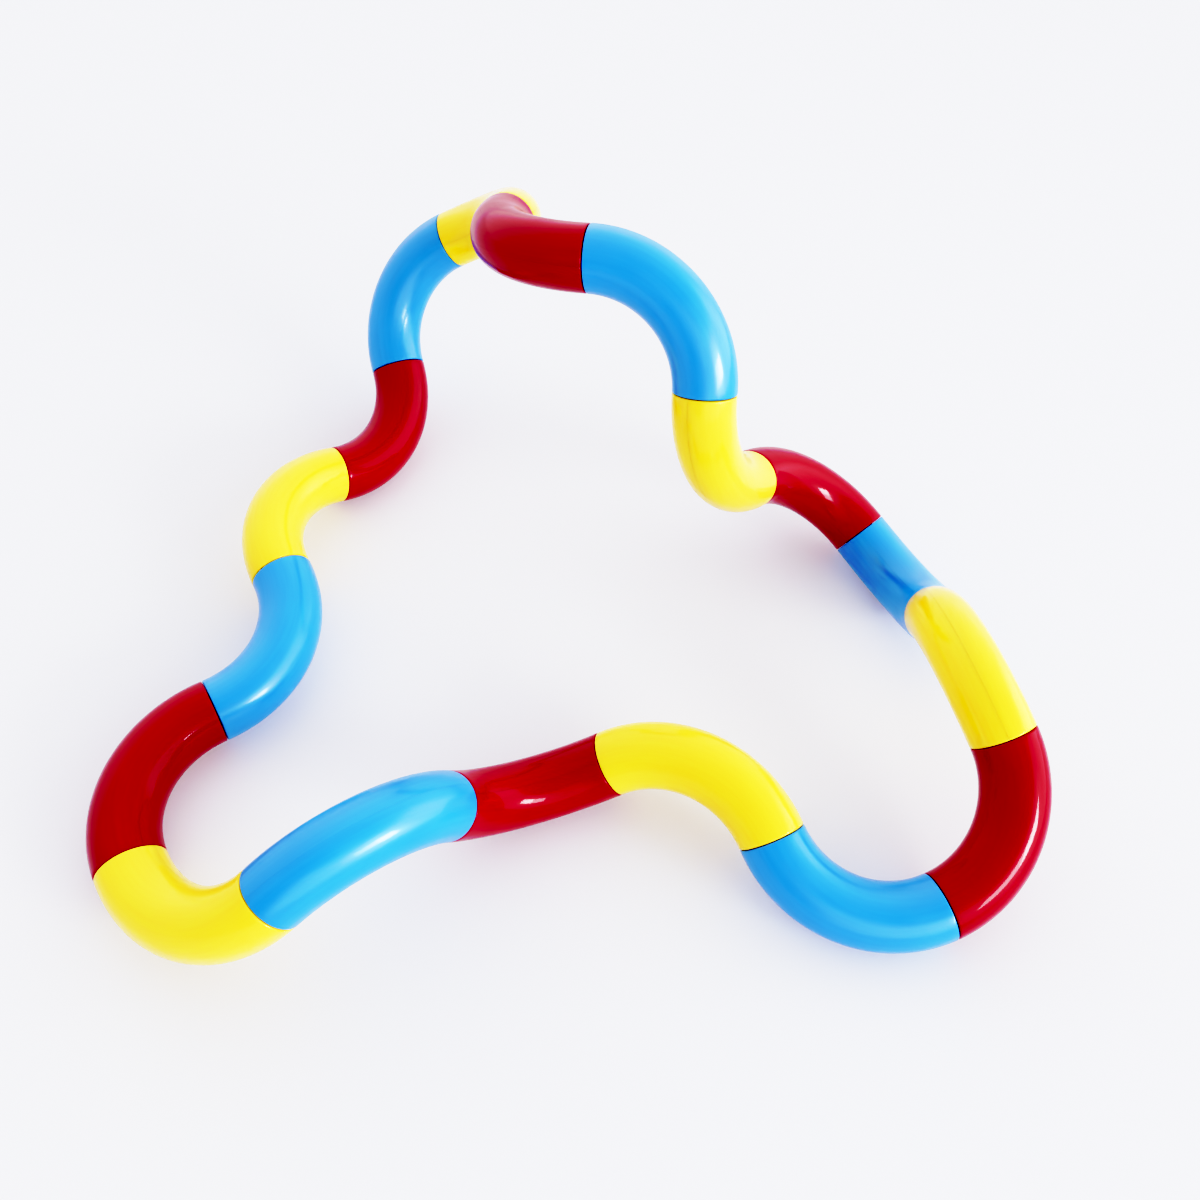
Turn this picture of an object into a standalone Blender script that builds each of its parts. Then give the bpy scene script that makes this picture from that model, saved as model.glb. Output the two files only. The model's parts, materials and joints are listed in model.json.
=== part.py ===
"""Twisty snake puzzle: a closed ring of eighteen quarter-bend tube links, each free to swivel on the next.

Every link is two glued half shells. They carry a flanged spigot at the head end and an inward lip at the
tail end, and each spigot snaps behind the lip of the next link.
"""

import math

import bmesh
import bpy
import numpy as np
from mathutils import Matrix, Vector

MM = 0.001

# Ring
COLOURS = ("yellow", "red", "blue")
LINK_COUNT = 18
# Degrees that each link's bend plane is turned from the one before it: 0 curls on in the same plane, and
# 180 bends the other way. The first figure is the swivel from link 1 to link 2, the last from 18 to 1.
TURNS = (156, -97, 112, 131, -32, 166, -104, 3, 159, 102, -162, -84, 37, -172, -164, -152, 120, -65)
REST_LINKS = (6, 9, 17)
HEADING = math.radians(115)
BASE_LINK = 6
LAST_LINK = 15

# Tube
BEND_RADIUS = 20.3 * MM
OUTER_RADIUS = 5.5 * MM
WALL = 1.3 * MM
RIM_ROUND = 0.4 * MM
END_SETBACK = 0.12 * MM
SEAM_SETBACK = 0.05 * MM

# Snap swivel
LIP_RADIUS = 3.6 * MM
LIP_LENGTH = 1.4 * MM
NECK_RADIUS = 3.15 * MM
FLANGE_RADIUS = 3.72 * MM
FLANGE_START = 1.75 * MM
FLANGE_WIDTH = 0.7 * MM
SPIGOT_LENGTH = 3.1 * MM
SPIGOT_BORE = 2.1 * MM
SPIGOT_ROOT = 2.2 * MM

# Facets
OUTER_STEPS = 6
BORE_STEPS = 4
HALF_TURN_STEPS = 7
SHARP_EDGE = math.radians(35)

SIDES = {"left_shell": 1, "right_shell": -1}

QUARTER = math.pi / 2
PAINT = {
    "yellow": (1.0, 0.78, 0.02),
    "red": (0.48, 0.004, 0.012),
    "blue": (0.06, 0.36, 0.88),
}


def clear_scene():
    for thing in list(bpy.data.objects):
        bpy.data.objects.remove(thing, do_unlink=True)


# ---- The ring's layout ----


def next_frame(frame, turn):
    """The frame of the link after this one. A frame sits at the tail joint: X along the tube, Y into the bend."""
    bend = Matrix.Translation((BEND_RADIUS, BEND_RADIUS, 0)) @ Matrix.Rotation(QUARTER, 4, "Z")
    return frame @ bend @ Matrix.Rotation(turn, 4, "X")


def chain(turns):
    """Frames of links 1 to 18, and where the frame after the last one lands."""
    frames = [Matrix.Identity(4)]
    for turn in turns:
        frames.append(next_frame(frames[-1], turn))
    return frames[:-1], frames[-1]


def closing_error(turns):
    """How far the chain's end misses its start: three offsets and three small angles."""
    end = chain(turns)[1]
    spin = end.to_3x3()
    return np.array(
        [*(end.translation / BEND_RADIUS), spin[2][1], spin[0][2], spin[1][0]]
    )


def closed_turns():
    """The turns nearest to TURNS that bring the ring exactly back onto itself."""
    turns = np.radians(TURNS)
    nudge = 1e-5
    for _ in range(20):
        error = closing_error(turns)
        slopes = [
            (closing_error(turns + nudge * row) - error) / nudge for row in np.eye(LINK_COUNT)
        ]
        turns = turns - np.linalg.pinv(np.transpose(slopes), rcond=1e-5) @ error
    return turns


def centreline(frame, steps=24):
    """Points along the middle of a link's tube."""
    for step in range(steps + 1):
        angle = QUARTER * step / steps
        yield frame @ Vector(
            (BEND_RADIUS * math.sin(angle), BEND_RADIUS * (1 - math.cos(angle)), 0)
        )


def levelling(frames):
    """The rotation that stands the ring on its three rest links."""
    middle = sum((frame.translation for frame in frames), Vector()) / LINK_COUNT
    level = Matrix.Identity(4)
    for _ in range(12):
        feet = [
            min((level @ p for p in centreline(frames[link - 1])), key=lambda p: p.z)
            for link in REST_LINKS
        ]
        up = (feet[1] - feet[0]).cross(feet[2] - feet[0]).normalized()
        if up.dot(level @ middle - feet[0]) < 0:
            up = -up
        level = up.rotation_difference(Vector((0, 0, 1))).to_matrix().to_4x4() @ level
    return level


def laid_out_links():
    """Every link's frame, with the ring level and turned to its heading."""
    frames, _ = chain(closed_turns())
    turned = Matrix.Rotation(HEADING, 4, "Z") @ levelling(frames)
    return [turned @ frame for frame in frames]


# ---- One half shell ----


def along_bend(angle, radius):
    """A ring of the curved tube: its frame in the link, and its radius."""
    centre = (BEND_RADIUS * math.sin(angle), BEND_RADIUS * (1 - math.cos(angle)), 0)
    return Matrix.Translation(centre) @ Matrix.Rotation(angle, 4, "Z"), radius


def at_tail(distance, radius):
    """A ring on the tail joint's straight axis, this far into the link."""
    return Matrix.Translation((distance, 0, 0)), radius


def at_head(distance, radius):
    """A ring on the head joint's straight axis, this far beyond the joint."""
    return along_bend(QUARTER, 0)[0] @ Matrix.Translation((distance, 0, 0)), radius


def shell_profile():
    """The rings of a link's wall, once round its lengthwise section: out along the outside, back through the bore."""
    setback = END_SETBACK / BEND_RADIUS
    rim = (END_SETBACK + RIM_ROUND) / BEND_RADIUS
    bore = OUTER_RADIUS - WALL
    bore_ends = (LIP_LENGTH / BEND_RADIUS, QUARTER - SPIGOT_ROOT / BEND_RADIUS)
    rings = [along_bend(setback, OUTER_RADIUS - RIM_ROUND)]
    rings += [along_bend(angle, OUTER_RADIUS) for angle in np.linspace(rim, QUARTER - rim, OUTER_STEPS + 1)]
    rings += [
        along_bend(QUARTER - setback, OUTER_RADIUS - RIM_ROUND),
        at_head(-END_SETBACK, NECK_RADIUS),
        at_head(FLANGE_START, NECK_RADIUS),
        at_head(FLANGE_START, FLANGE_RADIUS),
        at_head(FLANGE_START + FLANGE_WIDTH, FLANGE_RADIUS),
        at_head(SPIGOT_LENGTH, NECK_RADIUS),
        at_head(SPIGOT_LENGTH, SPIGOT_BORE),
        at_head(-END_SETBACK, SPIGOT_BORE),
    ]
    rings += [along_bend(angle, bore) for angle in np.linspace(bore_ends[1], bore_ends[0], BORE_STEPS + 1)]
    rings += [at_tail(LIP_LENGTH, LIP_RADIUS), at_tail(END_SETBACK, LIP_RADIUS)]
    return rings


def half_ring(place, radius, side):
    """Points of one ring on one side of the bend plane, from the outside of the bend to the inside."""
    lift = 1 - SEAM_SETBACK / radius
    for step in range(HALF_TURN_STEPS + 1):
        angle = math.pi * step / HALF_TURN_STEPS
        across = SEAM_SETBACK + lift * radius * math.sin(angle)
        yield place @ Vector((0, -radius * math.cos(angle), side * across))


def half_shell_mesh(name, side):
    """One half of a link's wall, split in the bend plane."""
    shape = bmesh.new()
    rings = [
        [shape.verts.new(point) for point in half_ring(place, radius, side)]
        for place, radius in shell_profile()
    ]
    for near, far in zip(rings, rings[1:] + rings[:1]):
        for step in range(HALF_TURN_STEPS):
            shape.faces.new((near[step], far[step], far[step + 1], near[step + 1]))
    for seam in (0, HALF_TURN_STEPS):
        shape.faces.new([ring[seam] for ring in rings])
    bmesh.ops.recalc_face_normals(shape, faces=shape.faces)
    mesh = bpy.data.meshes.new(name)
    shape.to_mesh(mesh)
    shape.free()
    mesh.shade_smooth()
    mesh.set_sharp_from_angle(angle=SHARP_EDGE)
    mesh.materials.append(None)
    return mesh


# ---- The assembly ----


def plastic(colour):
    material = bpy.data.materials.new(colour + "_plastic")
    material.use_nodes = True
    surface = material.node_tree.nodes["Principled BSDF"]
    surface.inputs["Base Color"].default_value = (*PAINT[colour], 1)
    surface.inputs["Roughness"].default_value = 0.18
    surface.inputs["Metallic"].default_value = 0.0
    return material


def standing(frames, meshes):
    """The frames moved so that the whole ring's box stands centred on the origin."""
    points = [frame @ v.co for frame in frames for mesh in meshes.values() for v in mesh.vertices]
    low, high = np.min(points, axis=0), np.max(points, axis=0)
    slide = Matrix.Translation((-(low[0] + high[0]) / 2, -(low[1] + high[1]) / 2, -low[2]))
    return [slide @ frame for frame in frames]


def add_object(name, data, parent, world):
    """An object at a place in the world, hung on its parent."""
    thing = bpy.data.objects.new(name, data)
    bpy.context.scene.collection.objects.link(thing)
    thing.parent = parent
    thing.matrix_basis = parent.matrix_world.inverted() @ world if parent else world
    bpy.context.view_layer.update()
    return thing


def add_swivels(frames):
    """The joints as a tree of empties, each with X along its joint's axis, outwards from the base link.

    Two arms of the ring grow from the base link and meet between the last link and the one after it.
    """
    base = add_object("base_link", None, None, frames[BASE_LINK - 1])
    carriers = {BASE_LINK: base}
    for link in range(BASE_LINK + 1, LAST_LINK + 1):
        name = f"swivel_{link - 1:02d}_{link:02d}"
        carriers[link] = add_object(name, None, carriers[link - 1], frames[link - 1])
    about_face = Matrix.Rotation(math.pi, 4, "Z")
    for step in range(1, LINK_COUNT - (LAST_LINK - BASE_LINK)):
        inner = (BASE_LINK - step) % LINK_COUNT + 1
        outer = (BASE_LINK - step - 1) % LINK_COUNT + 1
        joint = frames[inner - 1] @ about_face
        carriers[outer] = add_object(f"swivel_{outer:02d}_{inner:02d}", None, carriers[inner], joint)
    return carriers


def build():
    clear_scene()
    materials = {colour: plastic(colour) for colour in COLOURS}
    meshes = {name: half_shell_mesh(name, side) for name, side in SIDES.items()}
    frames = standing(laid_out_links(), meshes)
    carriers = add_swivels(frames)
    for number, frame in enumerate(frames, start=1):
        colour = COLOURS[(number - 1) % len(COLOURS)]
        for side, mesh in meshes.items():
            name = f"link_{number:02d}_{colour}_{side}"
            shell = add_object(name, mesh, carriers[number], frame)
            shell.material_slots[0].link = "OBJECT"
            shell.material_slots[0].material = materials[colour]


build()
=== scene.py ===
"""The looks of the twisty snake puzzle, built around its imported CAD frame.

Each link's two half shells are rebuilt with fine rims, snap swivels and a hairline seam, and get glossy
moulded plastic. Their places are read from the frame's joints and from the CAD shells they replace.
"""

import json
import math
import bmesh
import bpy
import numpy as np
from mathutils import Matrix, Vector


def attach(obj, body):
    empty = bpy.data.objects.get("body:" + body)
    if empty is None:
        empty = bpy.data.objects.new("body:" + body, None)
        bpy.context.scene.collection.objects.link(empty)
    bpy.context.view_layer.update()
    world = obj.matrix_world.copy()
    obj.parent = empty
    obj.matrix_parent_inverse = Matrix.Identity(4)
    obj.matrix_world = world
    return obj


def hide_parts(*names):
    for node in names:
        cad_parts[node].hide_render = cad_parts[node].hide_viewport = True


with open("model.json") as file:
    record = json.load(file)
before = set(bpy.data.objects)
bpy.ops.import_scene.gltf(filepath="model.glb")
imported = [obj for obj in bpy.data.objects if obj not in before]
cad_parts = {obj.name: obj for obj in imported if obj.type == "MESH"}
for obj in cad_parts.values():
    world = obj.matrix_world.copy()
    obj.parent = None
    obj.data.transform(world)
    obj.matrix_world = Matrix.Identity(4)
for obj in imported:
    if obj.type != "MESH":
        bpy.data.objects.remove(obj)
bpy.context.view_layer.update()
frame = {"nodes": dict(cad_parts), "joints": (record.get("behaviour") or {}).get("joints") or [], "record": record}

MM = 0.001
QUARTER = math.pi / 2

# The link, as in the CAD
LINK_COUNT = 18
BEND_RADIUS = 20.3 * MM
OUTER_RADIUS = 5.5 * MM
WALL = 1.3 * MM
LIP_RADIUS = 3.6 * MM
LIP_LENGTH = 1.4 * MM
NECK_RADIUS = 3.15 * MM
FLANGE_RADIUS = 3.72 * MM
FLANGE_START = 1.75 * MM
FLANGE_WIDTH = 0.7 * MM
SPIGOT_LENGTH = 3.1 * MM
SPIGOT_BORE = 2.1 * MM
SPIGOT_ROOT = 2.2 * MM
SIDES = {"left": 1, "right": -1}

# Fine detail that the CAD leaves out
END_SETBACK = 0.05 * MM
RIM_ROUND = 0.25 * MM
SMALL_ROUND = 0.12 * MM
SEAM_SETBACK = 0.002 * MM
SEAM_ROUND = 0.008 * MM
ARC_STEPS = 5
BEND_STEPS = 36
BORE_STEPS = 14
HALF_TURN_STEPS = 40
SHARP_EDGE = math.radians(40)
TUBE_MAP = "along_tube"

# The plastic's two shades of each colour, its scattering, and how strong its hazy and clear gloss are
PAINT = {
    "yellow": ((0.985, 0.72, 0.117), (0.975, 0.66, 0.106), 0.3, 0.2, 0.75),
    "red": ((0.33, 0.002, 0.028), (0.298, 0.001, 0.023), 0.1, 0.25, 0.65),
    "blue": ((0.048, 0.345, 0.73), (0.038, 0.312, 0.68), 0.05, 0.85, 0.4),
}
HAZY_ROUGHNESS = 0.28
CLEAR_ROUGHNESS = 0.05
SCATTER_SPREAD = (1.0, 0.6, 0.4)
SCATTER_DEPTH = 3.0 * MM
RELIEF_STRENGTH = 0.1
RELIEF_DEPTH = 0.03 * MM
SCRATCH_CUT = -0.5

# The plastic's grains, per metre, how far the long ones are drawn out, and the noise values that each spans
CLOUD_GRAIN = 70.0
STREAK_GRAIN, STREAK_DRAW = 1500.0, 0.04
PIGMENT_RANGE = (0.7, 1.3)
SMUDGE_GRAIN, SMUDGE_RANGE, SMUDGE_DULLING = 160.0, (0.4, 0.7), 0.12
SCRATCH_GRAIN, SCRATCH_DULLING = 9000.0, 0.16
LONG_SCRATCH_DRAW, LONG_SCRATCH_RANGE = 0.008, (0.7, 0.78)
CROSS_SCRATCH_DRAW, CROSS_SCRATCH_RANGE = 0.012, (0.74, 0.8)
PEEL_GRAIN = 380.0

# A mix node's sockets for colours and for plain values, which share their names
COLOUR_A, COLOUR_B, COLOUR_RESULT = 6, 7, 2
VALUE_A, VALUE_B, VALUE_RESULT = 2, 3, 0

# The camera
CAMERA_PLACE = Vector((-0.0063, -0.1212, 0.1642))
CAMERA_AIM = Vector((0.0055, 0.0026, 0.0))
CAMERA_ROLL = math.radians(6.27)
CAMERA_LENS = 31.5
CAMERA_SENSOR = 36.0
CAMERA_NEAREST = 0.005

# The room: how strongly each wall glows, by its azimuth in degrees clockwise from +Y
ROOM_TINT = (0.985, 0.99, 1.0)
ROOM_DIM = 0.43
WALLS = {0: 0.56, 60: 0.53, 300: 0.73}
WALL_HEIGHT = 25
WALL_FALLOFF = 2.0
WINDOW_WALL = 1.25
WINDOW_WALL_SIDE = 125
WINDOW_WALL_EDGE = (0.3, 0.55)
CEILING_EDGE = (0.58, 0.7)
BACKDROP = 0.87

# The table, lit a little from within so that shadows on it stay pale
FLOOR_REACH = 3.0
FLOOR_TINT = (0.6, 0.63, 0.68)
FLOOR_GLOW = 0.17
FLOOR_ROUGHNESS = 0.9

# The window's two panes: each one's width and power, by its azimuth
PANES = {123: (0.25, 0.66), 136: (0.28, 0.36)}
PANE_RISE = 0.23
PANE_HEIGHT = 21
PANE_DISTANCE = 1.2
PANE_SPREAD = math.radians(90)

# The print: black and white levels, and the curve between them
TONE_BLACK = (0.07, 0.115, 0.1)
TONE_WHITE = 1.89
TONE_CURVE = (
    (0.05, 0.055), (0.1, 0.26), (0.16, 0.42), (0.24, 0.66),
    (0.34, 0.84), (0.46, 0.93), (0.62, 0.985), (1.0, 1.0),
)
COMBINED_CURVE = 3


# ---- Where each link is ----


def shell_centre(node):
    """A CAD shell's centre of surface area."""
    mesh = frame["nodes"][node].data
    corners = np.array([[mesh.vertices[i].co for i in t.vertices] for t in mesh.loop_triangles])
    spans = np.cross(corners[:, 1] - corners[:, 0], corners[:, 2] - corners[:, 0])
    areas = np.linalg.norm(spans, axis=1)
    return Vector((corners.mean(axis=1) * areas[:, None]).sum(axis=0) / areas.sum())


def bend(angle):
    """From a link's tail joint to the point this far round its bend: X along the tube, Y into the bend."""
    place = (BEND_RADIUS * math.sin(angle), BEND_RADIUS * (1 - math.cos(angle)), 0)
    return Matrix.Translation(place) @ Matrix.Rotation(angle, 4, "Z")


def frame_at(joint, centre, across, at_tail):
    """A link's frame at one of its joints, from the joint's axis and the direction across the bend plane."""
    place = Vector(joint["pos_m"])
    along = Vector(joint["axis"]).normalized()
    if (along.dot(centre - place) > 0) != at_tail:
        along = -along
    across = (across - across.dot(along) * along).normalized()
    turned = Matrix((along, across.cross(along), across)).transposed().to_4x4()
    return Matrix.Translation(place) @ turned


def link_frame(body):
    """The frame of a link at its tail joint."""
    number = int(body.split("_")[1])
    left, right = (shell_centre(f"{body}_{side}_shell") for side in SIDES)
    centre, across = (left + right) / 2, left - right
    joints = {joint["name"]: joint for joint in frame["joints"]}
    before = (number - 2) % LINK_COUNT + 1
    after = number % LINK_COUNT + 1
    tail = joints.get(f"swivel_{before:02d}_{number:02d}")
    if tail:
        return frame_at(tail, centre, across, True)
    head = joints[f"swivel_{number:02d}_{after:02d}"]
    return frame_at(head, centre, across, False) @ bend(QUARTER).inverted()


# ---- One fine half shell ----


def bend_ring(distance, radius):
    """A ring this far along the curved tube: its frame in the link, and its radius."""
    return bend(distance / BEND_RADIUS), radius


def tail_ring(distance, radius):
    """A ring on the tail joint's straight axis, this far into the link."""
    return Matrix.Translation((distance, 0, 0)), radius


def head_ring(distance, radius):
    """A ring on the head joint's straight axis, this far beyond the joint."""
    return bend(QUARTER) @ Matrix.Translation((distance, 0, 0)), radius


def arc(ring, distance, radius, size, start, end):
    """Rings round a section's corner: a quarter arc about one point, between two angles in degrees."""
    for angle in np.radians(np.linspace(start, end, ARC_STEPS + 1)):
        yield ring(distance + size * math.cos(angle), radius + size * math.sin(angle))


def outside_section():
    """The rings of the tube's outer skin, from rim to rim."""
    length = QUARTER * BEND_RADIUS
    tail, head = END_SETBACK + RIM_ROUND, length - END_SETBACK - RIM_ROUND
    edge = OUTER_RADIUS - RIM_ROUND
    rings = list(arc(bend_ring, tail, edge, RIM_ROUND, 180, 90))
    rings += [bend_ring(d, OUTER_RADIUS) for d in np.linspace(tail, head, BEND_STEPS + 1)[1:-1]]
    return rings + list(arc(bend_ring, head, edge, RIM_ROUND, 90, 0))


def spigot_section():
    """The rings of the snap spigot, from the head's end face over the flange and back through its bore."""
    r = SMALL_ROUND
    flange_end = FLANGE_START + FLANGE_WIDTH
    rings = list(arc(head_ring, -END_SETBACK + r, NECK_RADIUS + r, r, 180, 270))
    rings += list(arc(head_ring, FLANGE_START - r, NECK_RADIUS + r, r, 270, 360))
    rings += list(arc(head_ring, FLANGE_START + r, FLANGE_RADIUS - r, r, 180, 90))
    rings += list(arc(head_ring, flange_end - r, FLANGE_RADIUS - r, r, 90, 45))
    rings += list(arc(head_ring, SPIGOT_LENGTH - r, NECK_RADIUS, r, 45, 0))
    rings += list(arc(head_ring, SPIGOT_LENGTH - r, SPIGOT_BORE + r, r, 0, -90))
    return rings + [head_ring(0, SPIGOT_BORE), head_ring(-END_SETBACK, SPIGOT_BORE)]


def inside_section():
    """The rings of the bore and the tail's lip, from the spigot's root to the tail's end face."""
    r = SMALL_ROUND
    bore = OUTER_RADIUS - WALL
    root = QUARTER * BEND_RADIUS - SPIGOT_ROOT
    rings = [bend_ring(d, bore) for d in np.linspace(root, LIP_LENGTH, BORE_STEPS + 1)]
    rings += list(arc(tail_ring, LIP_LENGTH - r, LIP_RADIUS + r, r, 0, -90))
    return rings + list(arc(tail_ring, END_SETBACK + r, LIP_RADIUS + r, r, 270, 180))


def half_ring(place, radius, side):
    """Points of one ring on one side of the bend plane, from the outside of the bend to the inside."""
    start = math.asin((SEAM_SETBACK + SEAM_ROUND) / radius)
    angles = np.linspace(start, math.pi - start, HALF_TURN_STEPS + 1)
    points = [(-radius * math.cos(a), radius * math.sin(a)) for a in angles]
    edge = radius - SEAM_ROUND
    points = [(-edge, SEAM_SETBACK), *points, (edge, SEAM_SETBACK)]
    return [place @ Vector((0, along, side * across)) for along, across in points]


def half_shell(name, side):
    """One half of a link's wall, split in the bend plane: a closed mesh, mapped along and round the tube."""
    shape = bmesh.new()
    chart = shape.loops.layers.uv.new(TUBE_MAP)
    section = outside_section() + spigot_section() + inside_section()
    rings = [[shape.verts.new(point) for point in half_ring(*ring, side)] for ring in section]
    along = 0.0
    for near, far in zip(rings, rings[1:] + rings[:1]):
        length = (far[0].co - near[0].co).length
        around = 0.0
        for step in range(len(near) - 1):
            width = (near[step + 1].co - near[step].co).length
            face = shape.faces.new((near[step], far[step], far[step + 1], near[step + 1]))
            corners = ((0, 0), (length, 0), (length, width), (0, width))
            for loop, (u, v) in zip(face.loops, corners):
                loop[chart].uv = (along + u, side * (around + v))
            around += width
        along += length
    for seam in (0, -1):
        shape.faces.new([ring[seam] for ring in rings])
    bmesh.ops.recalc_face_normals(shape, faces=shape.faces)
    mesh = bpy.data.meshes.new(name)
    shape.to_mesh(mesh)
    shape.free()
    mesh.shade_smooth()
    mesh.set_sharp_from_angle(angle=SHARP_EDGE)
    return mesh


# ---- Plastic ----


def node(tree, kind, inputs=None, **settings):
    """A shader node, its inputs linked where they are sockets and set where they are values."""
    made = tree.nodes.new(kind)
    for key, value in settings.items():
        setattr(made, key, value)
    for key, value in (inputs or {}).items():
        if isinstance(value, bpy.types.NodeSocket):
            tree.links.new(value, made.inputs[key])
        else:
            made.inputs[key].default_value = value
    return made


def compute(tree, operation, *values):
    return node(tree, "ShaderNodeMath", dict(enumerate(values)), operation=operation).outputs[0]


def remap(tree, value, low, high, to_low, to_high):
    limits = {"Value": value, "From Min": low, "From Max": high, "To Min": to_low, "To Max": to_high}
    return node(tree, "ShaderNodeMapRange", limits).outputs["Result"]


def noise(tree, place, grain, detail, stretch=(1, 1, 1)):
    """A noise value from 0 to 1, with this many grains per metre, drawn out along some axes."""
    spread = node(tree, "ShaderNodeVectorMath", {0: place, 1: stretch}, operation="MULTIPLY")
    inputs = {"Vector": spread.outputs["Vector"], "Scale": grain, "Detail": detail}
    return node(tree, "ShaderNodeTexNoise", inputs).outputs["Fac"]


def add_pigment(tree, place, tube, light, deep):
    """Colour in broad clouds, with streaks in the direction of the moulding flow."""
    clouds = noise(tree, place, CLOUD_GRAIN, 2.0)
    streaks = noise(tree, tube, STREAK_GRAIN, 3.0, (STREAK_DRAW, 1, 1))
    pigment = remap(tree, compute(tree, "ADD", clouds, streaks), *PIGMENT_RANGE, 0.0, 1.0)
    blend = {"Factor": pigment, COLOUR_A: (*deep, 1), COLOUR_B: (*light, 1)}
    tint = node(tree, "ShaderNodeMix", blend, data_type="RGBA").outputs[COLOUR_RESULT]
    tree.links.new(tint, tree.nodes["Principled BSDF"].inputs["Base Color"])


def add_wear(tree, place, tube):
    """Gloss dulled where fingers rub, hairline scratches along and across, and a faint orange peel."""
    surface = tree.nodes["Principled BSDF"]
    smudges = remap(tree, noise(tree, place, SMUDGE_GRAIN, 4.0), *SMUDGE_RANGE, 0.0, SMUDGE_DULLING)
    long = noise(tree, tube, SCRATCH_GRAIN, 1.0, (LONG_SCRATCH_DRAW, 1, 1))
    cross = noise(tree, tube, SCRATCH_GRAIN, 1.0, (1, CROSS_SCRATCH_DRAW, 1))
    along = remap(tree, long, *LONG_SCRATCH_RANGE, 0.0, SCRATCH_DULLING)
    across = remap(tree, cross, *CROSS_SCRATCH_RANGE, 0.0, SCRATCH_DULLING)
    scratches = compute(tree, "ADD", along, across)
    dulling = compute(tree, "ADD", smudges, scratches)
    tree.links.new(compute(tree, "ADD", dulling, HAZY_ROUGHNESS), surface.inputs["Roughness"])

    peel = noise(tree, place, PEEL_GRAIN, 1.0)
    relief = compute(tree, "MULTIPLY_ADD", scratches, SCRATCH_CUT, peel)
    depth = {"Height": relief, "Strength": RELIEF_STRENGTH, "Distance": RELIEF_DEPTH}
    tree.links.new(node(tree, "ShaderNodeBump", depth).outputs["Normal"], surface.inputs["Normal"])


def plastic(name, light, deep, scatter, haze, clear):
    """Glossy moulded plastic."""
    material = bpy.data.materials.new(name)
    material.use_nodes = True
    tree = material.node_tree
    place = node(tree, "ShaderNodeTexCoord").outputs["Object"]
    tube = node(tree, "ShaderNodeUVMap", uv_map=TUBE_MAP).outputs["UV"]
    add_pigment(tree, place, tube, light, deep)
    add_wear(tree, place, tube)
    surface = tree.nodes["Principled BSDF"].inputs
    surface["Specular IOR Level"].default_value = haze
    surface["Coat Weight"].default_value = clear
    surface["Coat Roughness"].default_value = CLEAR_ROUGHNESS
    surface["Subsurface Weight"].default_value = scatter
    surface["Subsurface Radius"].default_value = SCATTER_SPREAD
    surface["Subsurface Scale"].default_value = SCATTER_DEPTH
    return material


# ---- Stage ----


def direction(azimuth, elevation):
    """A unit vector towards an azimuth, clockwise from +Y, and an elevation, both in degrees."""
    a, e = math.radians(azimuth), math.radians(elevation)
    return Vector((math.sin(a) * math.cos(e), math.cos(a) * math.cos(e), math.sin(e)))


def place_object(name, data):
    placed = bpy.data.objects.new(name, data)
    bpy.context.scene.collection.objects.link(placed)
    return placed


def add_camera():
    camera = place_object("camera", bpy.data.cameras.new("camera"))
    camera.data.lens = CAMERA_LENS
    camera.data.sensor_width = CAMERA_SENSOR
    camera.data.clip_start = CAMERA_NEAREST
    look = (CAMERA_AIM - CAMERA_PLACE).to_track_quat("-Z", "Y").to_matrix().to_4x4()
    camera.matrix_world = Matrix.Translation(CAMERA_PLACE) @ look @ Matrix.Rotation(CAMERA_ROLL, 4, "Z")
    bpy.context.scene.camera = camera


def add_floor():
    r = FLOOR_REACH
    mesh = bpy.data.meshes.new("floor")
    mesh.from_pydata([(-r, -r, 0), (r, -r, 0), (r, r, 0), (-r, r, 0)], [], [(0, 1, 2, 3)])
    material = bpy.data.materials.new("floor")
    material.use_nodes = True
    surface = material.node_tree.nodes["Principled BSDF"].inputs
    surface["Base Color"].default_value = (*FLOOR_TINT, 1)
    surface["Roughness"].default_value = FLOOR_ROUGHNESS
    surface["Specular IOR Level"].default_value = 0.0
    surface["Emission Color"].default_value = (*ROOM_TINT, 1)
    surface["Emission Strength"].default_value = FLOOR_GLOW
    mesh.materials.append(material)
    floor = place_object("floor", mesh)


def add_pane(azimuth, width, power):
    """One pane of the window, as a soft panel aimed at the object."""
    light = bpy.data.lights.new(f"pane_{azimuth}", "AREA")
    light.shape = "RECTANGLE"
    light.size, light.size_y = width, PANE_RISE
    light.energy = power
    light.spread = PANE_SPREAD
    panel = place_object(light.name, light)
    panel.visible_camera = False
    away = direction(azimuth, PANE_HEIGHT)
    turned = away.to_track_quat("Z", "Y").to_matrix().to_4x4()
    panel.matrix_world = Matrix.Translation(away * PANE_DISTANCE) @ turned


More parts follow.
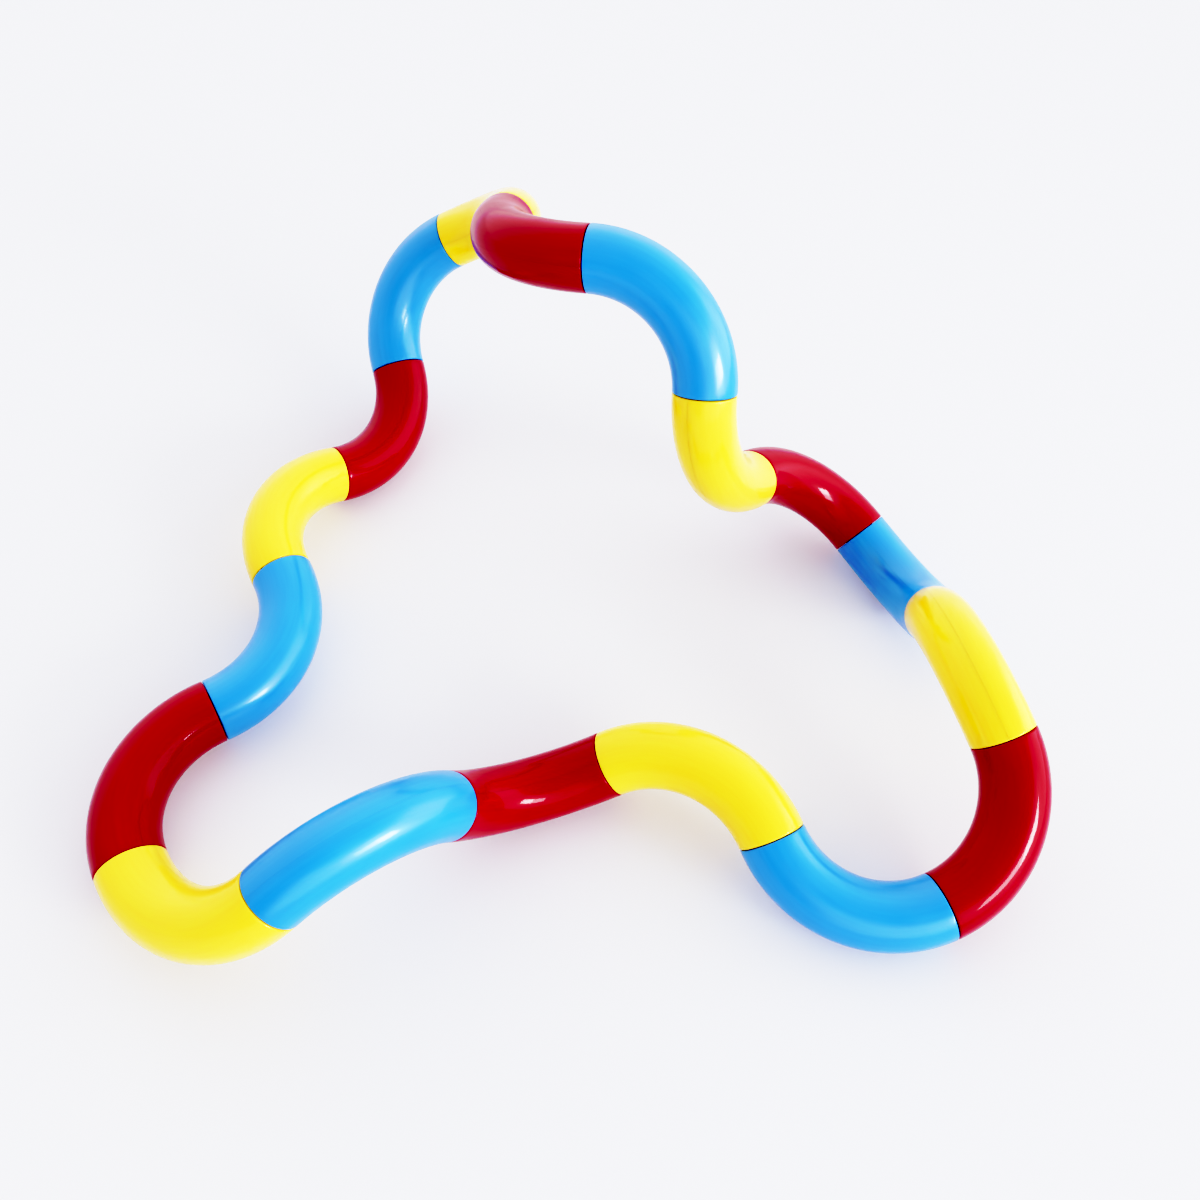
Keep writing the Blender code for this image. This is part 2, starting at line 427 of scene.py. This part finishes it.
def add_room():
    """A white room with softly glowing walls, brightest round the window and dim on the near left."""
    world = bpy.data.worlds.new("room")
    bpy.context.scene.world = world
    world.use_nodes = True
    tree = world.node_tree
    background = tree.nodes["Background"]
    background.inputs["Color"].default_value = (*ROOM_TINT, 1)
    sight = node(tree, "ShaderNodeTexCoord").outputs["Generated"]

    def facing(azimuth, elevation):
        views = {0: sight, 1: direction(azimuth, elevation)}
        return node(tree, "ShaderNodeVectorMath", views, operation="DOT_PRODUCT").outputs["Value"]

    glow = ROOM_DIM
    for azimuth, strength in WALLS.items():
        ahead = compute(tree, "MAXIMUM", facing(azimuth, WALL_HEIGHT), 0.0)
        lobe = compute(tree, "POWER", ahead, WALL_FALLOFF)
        glow = compute(tree, "MULTIPLY_ADD", lobe, strength, glow)
    height = node(tree, "ShaderNodeSeparateXYZ", {0: sight}).outputs["Z"]
    below_ceiling = remap(tree, height, *CEILING_EDGE, 1.0, 0.0)
    near_window = remap(tree, facing(WINDOW_WALL_SIDE, 0), *WINDOW_WALL_EDGE, 0.0, WINDOW_WALL)
    glow = compute(tree, "MULTIPLY_ADD", near_window, below_ceiling, glow)
    seen = node(tree, "ShaderNodeLightPath").outputs["Is Camera Ray"]
    shown = node(tree, "ShaderNodeMix", {"Factor": seen, VALUE_A: glow, VALUE_B: BACKDROP})
    tree.links.new(shown.outputs[VALUE_RESULT], background.inputs["Strength"])


def set_tone():
    """A bright, contrasty print: blacks clipped a little, whites rolled off."""
    settings = bpy.context.scene.view_settings
    settings.view_transform = "Standard"
    settings.use_curve_mapping = True
    tone = settings.curve_mapping
    tone.black_level = TONE_BLACK
    tone.white_level = (TONE_WHITE,) * 3
    curve = tone.curves[COMBINED_CURVE]
    curve.points[0].location = (0, 0)
    curve.points[1].location = TONE_CURVE[-1]
    for x, y in TONE_CURVE[:-1]:
        curve.points.new(x, y)
    tone.update()


# ---- Build ----


def build():
    shells = {side: half_shell(f"half_{side}", sign) for side, sign in SIDES.items()}
    paints = {colour: plastic(f"{colour}_plastic", *paint) for colour, paint in PAINT.items()}
    for body in frame["record"]["behaviour"]["bodies"]:
        colour = body.split("_")[2]
        place = link_frame(body)
        for side, mesh in shells.items():
            mesh = mesh.copy()
            mesh.transform(place)
            mesh.materials.append(paints[colour])
            shell = place_object(f"{body}_{side}_half", mesh)
            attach(shell, body)
            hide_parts(f"{body}_{side}_shell")
    add_floor()
    add_room()
    for azimuth, (width, power) in PANES.items():
        add_pane(azimuth, width, power)
    add_camera()
    set_tone()


build()
